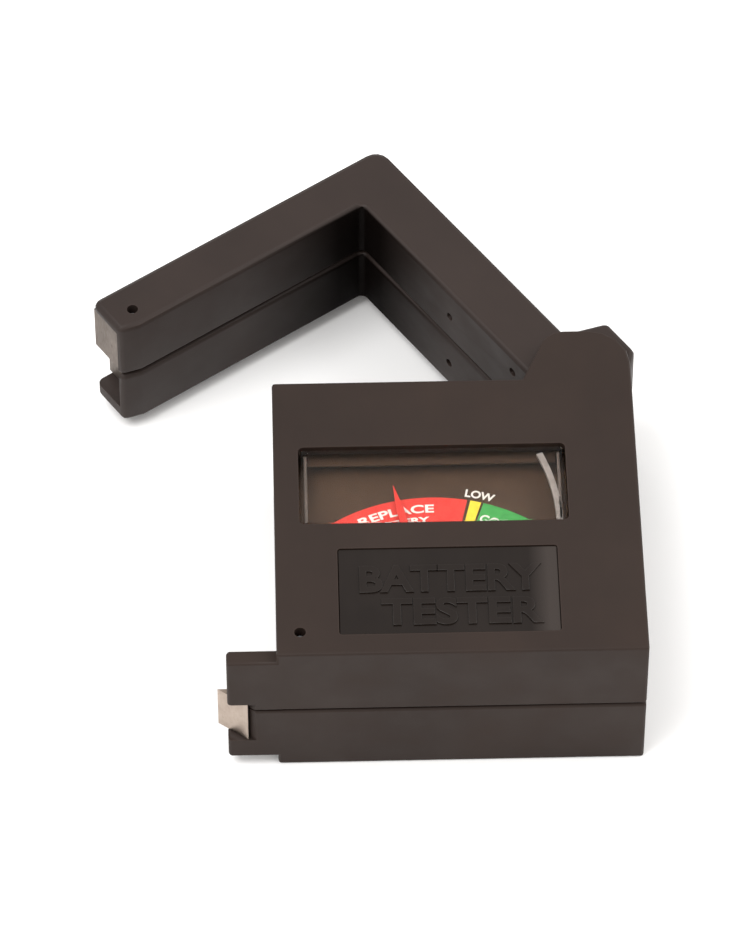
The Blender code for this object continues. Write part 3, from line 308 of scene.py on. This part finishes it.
# the lighter right end of the panel is a painted glare
panelPlastic = mouldedPlastic("panelPlastic", (0.0080, 0.0050, 0.0038), (0.0120, 0.0080, 0.0062), 0.30,
                              3200, 0.000005, 0.3, 0.2, glareSpan=(panelEnd - 3.6 * mm, panelEnd - 1.2 * mm))
nickelPlate = platedMetal("nickelPlate", (0.36, 0.29, 0.24), (0.47, 0.39, 0.33), 0.38, (1, 6, 1),
                          recessShaded=True)
# darker copy of the nickel: painted shade for the arm contact down in its recess
dullNickel = platedMetal("dullNickel", (0.115, 0.092, 0.077), (0.17, 0.14, 0.12), 0.44, (1, 6, 1),
                         recessShaded=True)
steelFinish = platedMetal("steelFinish", (0.42, 0.42, 0.43), (0.62, 0.62, 0.63), 0.32, (1, 1, 5))
brassFinish = platedMetal("brassFinish", (0.60, 0.42, 0.17), (0.78, 0.60, 0.30), 0.30, (5, 1, 1))
springFinish = platedMetal("springFinish", (0.55, 0.33, 0.14), (0.70, 0.46, 0.24), 0.28, (1, 1, 7))
ironFinish = platedMetal("ironFinish", (0.20, 0.20, 0.21), (0.34, 0.34, 0.35), 0.46, (1, 1, 6), 1400)
magnetFinish = platedMetal("magnetFinish", (0.09, 0.09, 0.09), (0.17, 0.17, 0.17), 0.5, (1, 1, 4), 700)
aluminiumFinish = platedMetal("aluminiumFinish", (0.66, 0.66, 0.67), (0.82, 0.82, 0.83), 0.33, (1, 1, 6))
blackMoulding = mouldedPlastic("blackMoulding", (0.010, 0.010, 0.010), (0.022, 0.022, 0.022), 0.5)
tanLacquer = lacquered("tanLacquer", (0.42, 0.30, 0.17), (0.56, 0.43, 0.27), 0.42)
blueLacquer = lacquered("blueLacquer", (0.10, 0.19, 0.28), (0.17, 0.28, 0.38), 0.38)
redJacket = lacquered("redJacket", (0.30, 0.012, 0.010), (0.42, 0.03, 0.02), 0.36, 700)
blackJacket = lacquered("blackJacket", (0.010, 0.010, 0.011), (0.024, 0.024, 0.025), 0.36, 700)
redPaint = lacquered("redPaint", (0.62, 0.025, 0.018), (0.78, 0.05, 0.035), 0.42, 900)
whiteInk = lacquered("whiteInk", (0.72, 0.71, 0.68), (0.86, 0.85, 0.83), 0.5, 1200, 0.000004)
redInk = lacquered("redInk", (0.66, 0.030, 0.022), (0.80, 0.055, 0.040), 0.48, 1200, 0.000004)
yellowInk = lacquered("yellowInk", (0.80, 0.60, 0.03), (0.90, 0.72, 0.06), 0.48, 1200, 0.000004)
greenInk = lacquered("greenInk", (0.035, 0.30, 0.06), (0.06, 0.40, 0.09), 0.48, 1200, 0.000004)
print("finishes ready")


def windingFinish():  # rows of enamelled wire round the coil
    finish = Finish("windingFinish", 0.34, metallic=0.8)
    wave = finish.add("ShaderNodeTexWave", wave_type="BANDS", bands_direction="Y")
    wave.inputs["Scale"].default_value = 2200
    wave.inputs["Distortion"].default_value = 0.3
    finish.join(finish.place, wave.inputs["Vector"])
    finish.colour(finish.ramp(wave.outputs["Fac"], [(0.1, (0.22, 0.07, 0.03)), (0.7, (0.62, 0.26, 0.12))]))
    finish.rough(finish.grey(finish.noise(900, 3), 0.25, 0.42))
    finish.normal(finish.bump(wave.outputs["Fac"], 0.6, 0.00004))
    return finish.material


def laminateFinish():  # bare paper laminate with fibres
    finish = Finish("laminateFinish", 0.55)
    fibre = finish.noise(420, 5, 0.7, (1, 6, 1))
    finish.colour(finish.ramp(fibre, [(0.25, (0.30, 0.17, 0.07)), (0.75, (0.46, 0.30, 0.14))]))
    finish.rough(finish.grey(fibre, 0.45, 0.62))
    finish.normal(finish.bump(fibre, 0.3, 0.00002))
    return finish.material


def dialFinish():  # brown printed card, with painted shade making it a little darker towards its top
    finish = Finish("dialFinish", 0.5, specular=0.3)
    low, high = boxOf("dial_plate")
    rise = finish.grey(finish.along("Y"), 0, 1, low.y, high.y)
    paper = finish.noise(700, 4, 0.6)
    shade = finish.ramp(rise, [(0.35, (0.059, 0.031, 0.017)), (0.75, (0.057, 0.030, 0.016)),
                               (0.95, (0.048, 0.025, 0.013))])
    finish.colour(finish.mix(shade, (0.12, 0.072, 0.044), finish.grey(paper, 0, 0.3, 0.45, 0.75)))
    finish.rough(finish.grey(paper, 0.44, 0.58))
    finish.normal(finish.bump(finish.noise(2600, 3), 0.06, 0.00001))
    return finish.material


def lensFinish():  # clear moulding with faint scuffs
    finish = Finish("lensFinish", 0.03, specular=0.12)
    shader = finish.shader
    shader.inputs["Base Color"].default_value = (0.99, 0.965, 0.93, 1)
    shader.inputs["Transmission Weight"].default_value = 1.0
    shader.inputs["IOR"].default_value = 1.05
    shader.inputs["Coat Weight"].default_value = 0.25
    shader.inputs["Coat Roughness"].default_value = 0.06
    scuffs = finish.noise(340, 6, 0.75, (1, 3, 1))
    finish.rough(finish.grey(scuffs, 0.0, 0.03, 0.55, 0.80))
    finish.normal(finish.bump(finish.noise(70, 1), 0.05, 0.00001))
    return finish.material


slotFinishes = {
    "case_plastic": casePlastic, "arm_plastic": armPlastic, "panel_plastic": panelPlastic,
    "contact_metal": nickelPlate, "steel": steelFinish, "brass": brassFinish, "spring_bronze": springFinish,
    "black_moulding": blackMoulding, "soft_iron": ironFinish, "magnet": magnetFinish,
    "aluminium": aluminiumFinish, "copper": windingFinish(), "pointer_red": redPaint,
    "dial_card": dialFinish(),
    "laminate": laminateFinish(), "resistor_tan": tanLacquer, "resistor_blue": blueLacquer,
    "lead_red": redJacket, "lead_black": blackJacket, "lens": lensFinish(),
}
slotOf = {part["node"]: part["material_slot"] for part in frame["record"]["subparts"]}
bodyOf = {node: body for body, members in frame["record"]["behaviour"]["bodies"].items() for node in members}
for nodeName, node in nodes.items():
    node.data.materials.clear()
    node.data.materials.append(slotFinishes[slotOf[nodeName]])
print("CAD nodes finished:", len(nodes))


# Smooth-edged twins of the pieces that show

for nodeName in ("rear_shell", "front_shell", "arm_rear_half", "arm_front_half", "meter_lens", "foot_contact",
                 "arm_contact", "foot_stake", "arm_stake", "hinge_pin", "pointer", "dial_plate",
                 "shell_screw_1", "shell_screw_2", "shell_screw_3", "shell_screw_4"):
    parts = nodeName.split("_")
    twinName = parts[0] + "".join(word.capitalize() for word in parts[1:])
    # the arm contact takes the painted-shade nickel
    look = {"arm_contact": dullNickel, "foot_stake": ironFinish, "arm_stake": ironFinish}.get(
        nodeName, slotFinishes[slotOf[nodeName]])
    twin = smoothCopy(nodeName, twinName, look)
    finishPiece(twin, bodyOf[nodeName], replaced=[nodeName])
print("smooth twins made")


# Name panel with raised lettering

panel = {
    "lines": ("BATTERY", "TESTER"),
    "letterRise": 0.16 * mm,
    "weight": 0.16 * mm,
    "round": 0.07 * mm,
    "spread": 0.12 * mm,  # fills the gap round the plate
    "letterHeight": 4.35 * mm,
    "tops": (2.7 * mm, 8.0 * mm),  # from the panel's top edge
    "lefts": (2.5 * mm, 5.2 * mm),
    "right": 25.5 * mm,
    "sink": 0.1 * mm,  # letters into the plate
}


def flatText(name, words, height, thick, weight=0.0, bevel=0.0):
    bpy.ops.object.select_all(action="DESELECT")
    bpy.ops.object.text_add(location=(0, 0, 0))
    text = bpy.context.object
    text.data.body = words
    text.data.size = height * 1.4
    text.data.extrude = thick / 2
    text.data.offset = weight
    text.data.bevel_depth = bevel
    text.data.bevel_resolution = 2 if bevel else 0
    text.data.resolution_u = 6
    bpy.ops.object.convert(target="MESH")
    item = bpy.context.object
    item.name = name
    item.data.name = name
    return item


def fitText(item, left, right, low, high, base):  # stretches lettering into a rectangle, its back on base
    points = [vert.co for vert in item.data.vertices]
    least = Vector([min(point[axis] for point in points) for axis in range(3)])
    most = Vector([max(point[axis] for point in points) for axis in range(3)])
    for point in points:
        point.x = left + (point.x - least.x) / (most.x - least.x) * (right - left)
        point.y = low + (point.y - least.y) / (most.y - least.y) * (high - low)
        point.z = base + point.z - least.z


panelLow, panelHigh = boxOf("name_panel")
panelPlate = smoothCopy("name_panel", "namePanel", panelPlastic)
panelMiddle = (panelLow + panelHigh) / 2
for vert in panelPlate.data.vertices:
    vert.co.x += math.copysign(panel["spread"], vert.co.x - panelMiddle.x)
    vert.co.y += math.copysign(panel["spread"], vert.co.y - panelMiddle.y)
finishPiece(panelPlate, "body", replaced=["name_panel"])
for number, words in enumerate(panel["lines"]):
    letters = flatText(f"panelLetters{number + 1}", words, panel["letterHeight"], panel["letterRise"],
                       panel["weight"], panel["round"])
    top = panelHigh.y - panel["tops"][number]
    fitText(letters, panelLow.x + panel["lefts"][number], panelLow.x + panel["right"],
            top - panel["letterHeight"], top, panelHigh.z - panel["sink"])
    onlySelect(letters)
    bpy.ops.object.shade_smooth_by_angle(angle=math.radians(40))
    finishPiece(letters, "body", panelPlastic)
print("name panel lettered")


# Ribs and frosted arc at the two ends of the meter window: painted reflections of the lens ends

lensLow, lensHigh = boxOf("meter_lens")
ribs = {
    "inset": 2.0 * mm,  # from the flange's end
    "width": 0.4 * mm,
    "low": 2.3 * mm,
    "high": 1.6 * mm,
    "drop": 1.0 * mm,  # below the top of the lens
    "depth": 0.5 * mm,
    "bow": 30 * mm,
    "bowStart": 68.0,
    "bowSweep": 23.0,
    "bowWidth": 0.8 * mm,
    "bowInset": 4.0 * mm,
    "rounding": 0.08 * mm,
}


def frostedFinish():  # painted glare: grey, part-clear moulding with a ground surface
    finish = Finish("frostedFinish", 0.4, specular=0.5)
    grain = finish.noise(900, 4, 0.6)
    finish.colour(finish.ramp(grain, [(0.3, (0.30, 0.26, 0.24)), (0.7, (0.46, 0.42, 0.41))]))
    finish.shader.inputs["Transmission Weight"].default_value = 0.35
    finish.rough(finish.grey(grain, 0.3, 0.5))
    finish.normal(finish.bump(grain, 0.3, 0.00001))
    return finish.material


def sideFinish():  # duller, for the ribs seen edge-on; their light brown is a painted reflection of the lens ends
    finish = Finish("sideFinish", 0.35, specular=0.4)
    finish.colour(finish.ramp(finish.noise(700, 4), [(0.3, (0.085, 0.065, 0.055)),
                                                     (0.7, (0.14, 0.11, 0.095))]))
    finish.rough(finish.grey(finish.noise(900, 3), 0.28, 0.42))
    finish.normal(finish.bump(finish.noise(900, 3), 0.2, 0.00001))
    return finish.material


def smallBox(name, middle, size, rounding):
    bpy.ops.object.select_all(action="DESELECT")
    bpy.ops.mesh.primitive_cube_add(size=1)
    item = bpy.context.object
    item.name = name
    item.data.name = name
    item.scale = size
    item.location = middle
    settle(item)
    bpy.ops.object.mode_set(mode="EDIT")
    bpy.ops.mesh.select_all(action="SELECT")
    bpy.ops.mesh.bevel(offset=rounding, segments=2)
    bpy.ops.object.mode_set(mode="OBJECT")
    return item


ribGlint = sideFinish()
# the ribs stand as painted reflections, the light lines at the lens ends
for number, edge in enumerate((lensLow.x + ribs["inset"], lensHigh.x - ribs["inset"])):
    low, high = lensLow.y + ribs["low"], lensHigh.y - ribs["high"]
    rib = smallBox(f"lensRib{number + 1}",
                   (edge, (low + high) / 2, lensHigh.z - ribs["drop"] - ribs["depth"] / 2),
                   (ribs["width"], high - low, ribs["depth"]), ribs["rounding"])
    bpy.ops.object.shade_smooth_by_angle(angle=math.radians(40))
    finishPiece(rib, "body", ribGlint)

# Card strip behind the upper wall of the lens
backing = {
    "low": 2.12 * mm,  # both from the top edge of the flange
    "high": 0.5 * mm,
    "inset": 2.2 * mm,
    "thick": 0.2 * mm,
    "gap": 0.05 * mm,
    "rounding": 0.04 * mm,
}
card = smallBox("lensBacking",
                ((lensLow.x + lensHigh.x) / 2, lensHigh.y - (backing["low"] + backing["high"]) / 2,
                 lensLow.z - backing["gap"] - backing["thick"] / 2),
                (lensHigh.x - lensLow.x - 2 * backing["inset"], backing["low"] - backing["high"],
                 backing["thick"]), backing["rounding"])
finishPiece(card, "body", slotFinishes["dial_card"])


# Print on the dial

meterAxis = jointAt("pointer_swing")
dialHigh = boxOf("dial_plate")[1]
dial = {
    "inner": 17.6 * mm,
    "outer": 21.9 * mm,
    "thick": 0.03 * mm,
    "weight": 0.05 * mm,
    "red": (-37.0, 12.4),
    "yellow": (13.5, 17.2),
    "green": (18.0, 38.0),
    "rule": 0.16 * mm,
    "sink": 0.002 * mm,  # each print layer into the one below
    "words": {  # middle in degrees from +Y, radius, height, width
        "REPLACE": (-13.0, 19.4 * mm, 1.35 * mm, 9.6 * mm),
        "BATTERY": (-13.0, 17.75 * mm, 1.0 * mm, 7.6 * mm),
        "LOW": (16.0, 22.4 * mm, 1.25 * mm, 3.7 * mm),
        "GOOD": (26.5, 18.6 * mm, 1.5 * mm, 5.0 * mm),
    },
}


def arcPatch(name, start, end, inner, outer, base, thick, material, middle=None):  # angles from +Y, clockwise
    bpy.ops.object.select_all(action="DESELECT")
    bpy.ops.mesh.primitive_plane_add(size=1)
    item = bpy.context.object
    item.name = name
    item.data.name = name
    way = Vector((math.sin(math.radians(start)), math.cos(math.radians(start)), 0))
    middle = Vector((*(middle or meterAxis)[:2], base))
    for vert in item.data.vertices:  # the first two make the starting edge, the rest go
        vert.select = vert.index > 1
        vert.co = middle + way * (inner if vert.index == 0 else outer)
    for part in (*item.data.edges, *item.data.polygons):
        part.select = False
    bpy.ops.object.mode_set(mode="EDIT")
    bpy.ops.mesh.select_mode(type="VERT")
    bpy.ops.mesh.delete(type="VERT")
    bpy.ops.mesh.select_all(action="SELECT")
    bpy.ops.mesh.spin(steps=max(12, int(abs(end - start))), angle=math.radians(end - start),
                      center=middle, axis=(0, 0, 1))
    bpy.ops.mesh.select_all(action="SELECT")
    bpy.ops.mesh.extrude_region_move(TRANSFORM_OT_translate={"value": (0, 0, thick)})
    bpy.ops.mesh.select_all(action="SELECT")
    bpy.ops.mesh.normals_make_consistent(inside=False)
    bpy.ops.object.mode_set(mode="OBJECT")
    return finishPiece(item, "body", material)


# the bow is a painted glare: the curved reflection near the right end of the lens
bowTop = Vector((lensHigh.x - ribs["bowInset"], lensHigh.y - ribs["high"], 0))
bowTurn = math.radians(ribs["bowStart"])
bowMiddle = bowTop + Vector((-math.sin(bowTurn), -math.cos(bowTurn), 0)) * ribs["bow"]
bow = arcPatch("lensBow", ribs["bowStart"], ribs["bowStart"] + ribs["bowSweep"],
               ribs["bow"] - ribs["bowWidth"], ribs["bow"], lensHigh.z - ribs["drop"] - ribs["depth"],
               ribs["depth"], frostedFinish(), bowMiddle)
print("lens ribs set")

printBase = dialHigh.z - dial["sink"]
for name, colour, ink in (("redBand", "red", redInk), ("yellowBand", "yellow", yellowInk),
                          ("greenBand", "green", greenInk)):
    arcPatch(name, *dial[colour], dial["inner"], dial["outer"], printBase, dial["thick"], ink)
arcPatch("scaleRule", dial["red"][0], dial["green"][1], dial["inner"] - 2 * dial["rule"],
         dial["inner"] - dial["rule"], printBase, dial["thick"], whiteInk)


def bentText(name, words, middle, radius, height, width, base, material):  # lettering that follows the scale
    item = flatText(name, words, height, dial["thick"], dial["weight"])
    fitText(item, -width / 2, width / 2, 0, height, base)
    for vert in item.data.vertices:
        turn = math.radians(middle) + vert.co.x / radius
        reach = radius + vert.co.y
        vert.co.x = meterAxis.x + math.sin(turn) * reach
        vert.co.y = meterAxis.y + math.cos(turn) * reach
    return finishPiece(item, "body", material)


inkTop = printBase + dial["thick"] - dial["sink"]
for words, layout in dial["words"].items():  # LOW stands on the card above the bands, the rest on them
    bentText("word" + words.capitalize(), words, *layout, printBase if words == "LOW" else inkTop, whiteInk)
print("dial printed")


# Stage, light and camera

stage = {
    "floorSize": 3.0,
    "floorColour": (0.93, 0.925, 0.92),
    "sky": 0.95,
    "skyColour": (1.0, 0.99, 0.975, 1),
    "keyPower": 5.0,
    "keySize": 0.5,
    "keyPlace": (-0.35, -0.15, 0.75),
    "fillPower": 2.2,
    "fillPlace": (0.5, 0.2, 0.6),
    "sidePower": 0.9,
    "sidePlace": (0.6, -0.32, 0.35),
}

bpy.ops.object.select_all(action="DESELECT")
bpy.ops.mesh.primitive_plane_add(size=stage["floorSize"], location=(0, 0, -0.02 * mm))
floor = bpy.context.object
floor.name = "floor"
settle(floor)
floorFinish = Finish("floorFinish", 0.75, specular=0.2)
floorFinish.colour(floorFinish.ramp(
    floorFinish.noise(12, 3), [(0.3, stage["floorColour"]), (0.7, [c * 1.01 for c in stage["floorColour"]])]))
floor.data.materials.append(floorFinish.material)

world = bpy.data.worlds.new("studio")
world.use_nodes = True
world.node_tree.nodes["Background"].inputs["Color"].default_value = stage["skyColour"]
world.node_tree.nodes["Background"].inputs["Strength"].default_value = stage["sky"]
bpy.context.scene.world = world


def softBox(name, place, power, size, aim):
    light = bpy.data.lights.new(name, "AREA")
    light.energy = power
    light.size = size
    lamp = bpy.data.objects.new(name, light)
    bpy.context.scene.collection.objects.link(lamp)
    lamp.location = place
    lamp.rotation_euler = (Vector(aim) - Vector(place)).to_track_quat("-Z", "Y").to_euler()
    return lamp


middle = (cadBox[0] + cadBox[1]) / 2
softBox("keyLight", stage["keyPlace"], stage["keyPower"], stage["keySize"], middle)
softBox("fillLight", stage["fillPlace"], stage["fillPower"], stage["keySize"], middle)
softBox("sideLight", stage["sidePlace"], stage["sidePower"], stage["keySize"], middle)

view = {
    "azimuth": -1.39,
    "elevation": 50.25,
    "distance": 792 * mm,
    "lens": 229.7,
    "sensor": 36.0,
    "near": 0.05,
    "far": 20,
    "target": (-9.8 * mm, 26.26 * mm, 0.0),
}
turn = math.radians(view["azimuth"])
rise = math.radians(view["elevation"])
ahead = Vector((-math.sin(turn) * math.cos(rise), math.cos(turn) * math.cos(rise), -math.sin(rise)))
cameraData = bpy.data.cameras.new("camera")
cameraData.lens = view["lens"]
cameraData.sensor_width = view["sensor"]
cameraData.clip_start = view["near"]
cameraData.clip_end = view["far"]
camera = bpy.data.objects.new("camera", cameraData)
bpy.context.scene.collection.objects.link(camera)
camera.location = Vector(view["target"]) - ahead * view["distance"]
camera.rotation_euler = ahead.to_track_quat("-Z", "Y").to_euler()
bpy.context.scene.camera = camera
bpy.context.scene.view_settings.view_transform = "Standard"
print("camera and light placed")
